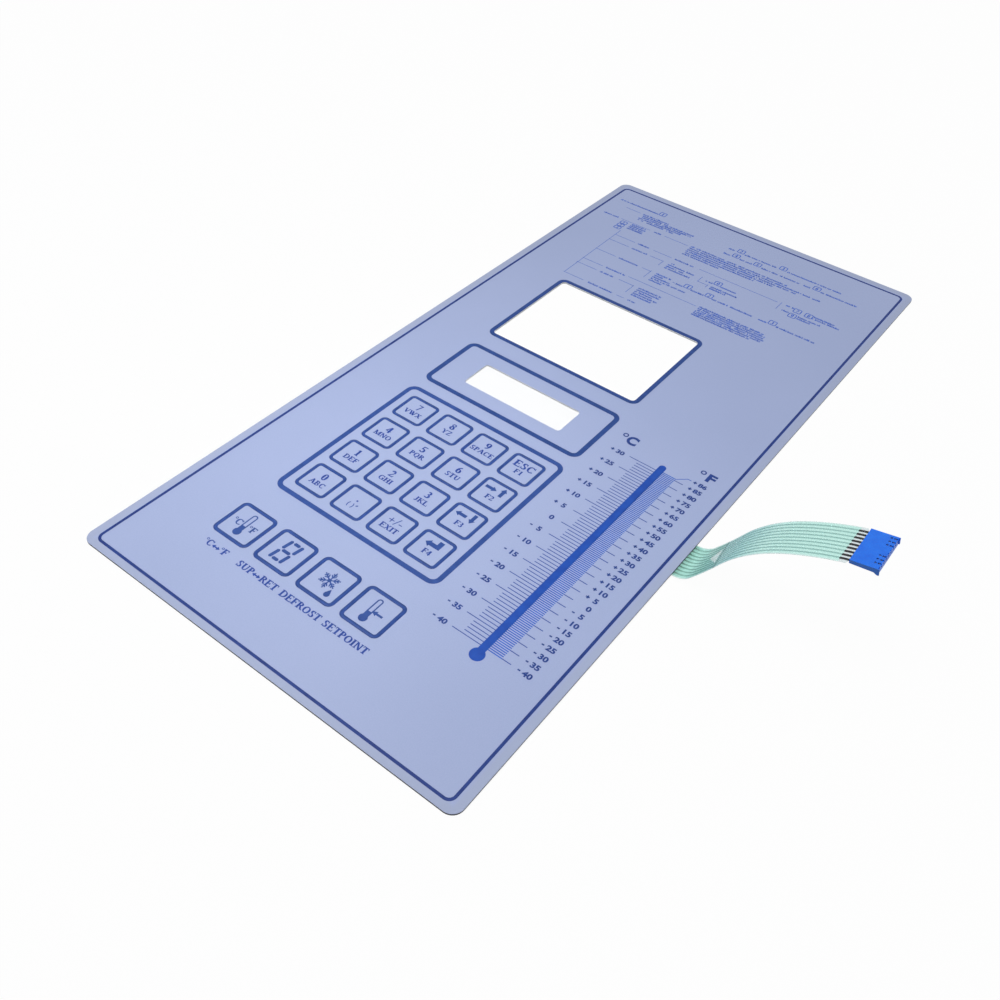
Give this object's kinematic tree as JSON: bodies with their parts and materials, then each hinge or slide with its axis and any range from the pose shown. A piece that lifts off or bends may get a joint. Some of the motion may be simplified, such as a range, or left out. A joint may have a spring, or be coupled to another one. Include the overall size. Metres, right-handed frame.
{
  "type": "membrane keypad",
  "caption": "Flat laminated membrane keypad with a card window, a display window, printed keys and scales, and a flat film tail that ends in a crimped connector.",
  "frame": {"origin": "centre of the panel's outline, on the rear face of the release liner", "axes": "+Z out of the printed face, +Y along the panel from its near edge to its far edge, +X to the right edge where the tail leaves"},
  "size_m": [0.3129, 0.4826, 0.0641],
  "materials": {
    "liner_paper": "coated release sheet, cream white",
    "adhesive": "acrylic adhesive film",
    "circuit_film": "polyester film with mint green insulating print",
    "spacer_film": "polyester film with adhesive on both faces",
    "printed_film": "fine textured film, printed pale grey blue",
    "housing_plastic": "moulded blue nylon, satin",
    "contact_metal": "tin plated copper alloy"
  },
  "bodies": {
    "root": {"release_liner": "liner_paper", "rear_adhesive": "adhesive", "lower_circuit_film": "circuit_film", "circuit_spacer": "spacer_film", "upper_circuit_film": "circuit_film", "overlay_adhesive": "adhesive", "graphic_overlay": "printed_film", "connector_housing": "housing_plastic", "crimp_contact_1": "contact_metal", "crimp_contact_2": "contact_metal", "crimp_contact_3": "contact_metal", "crimp_contact_4": "contact_metal", "crimp_contact_5": "contact_metal", "crimp_contact_6": "contact_metal", "crimp_contact_7": "contact_metal", "crimp_contact_8": "contact_metal", "crimp_contact_9": "contact_metal"}
  },
  "joints": []
}
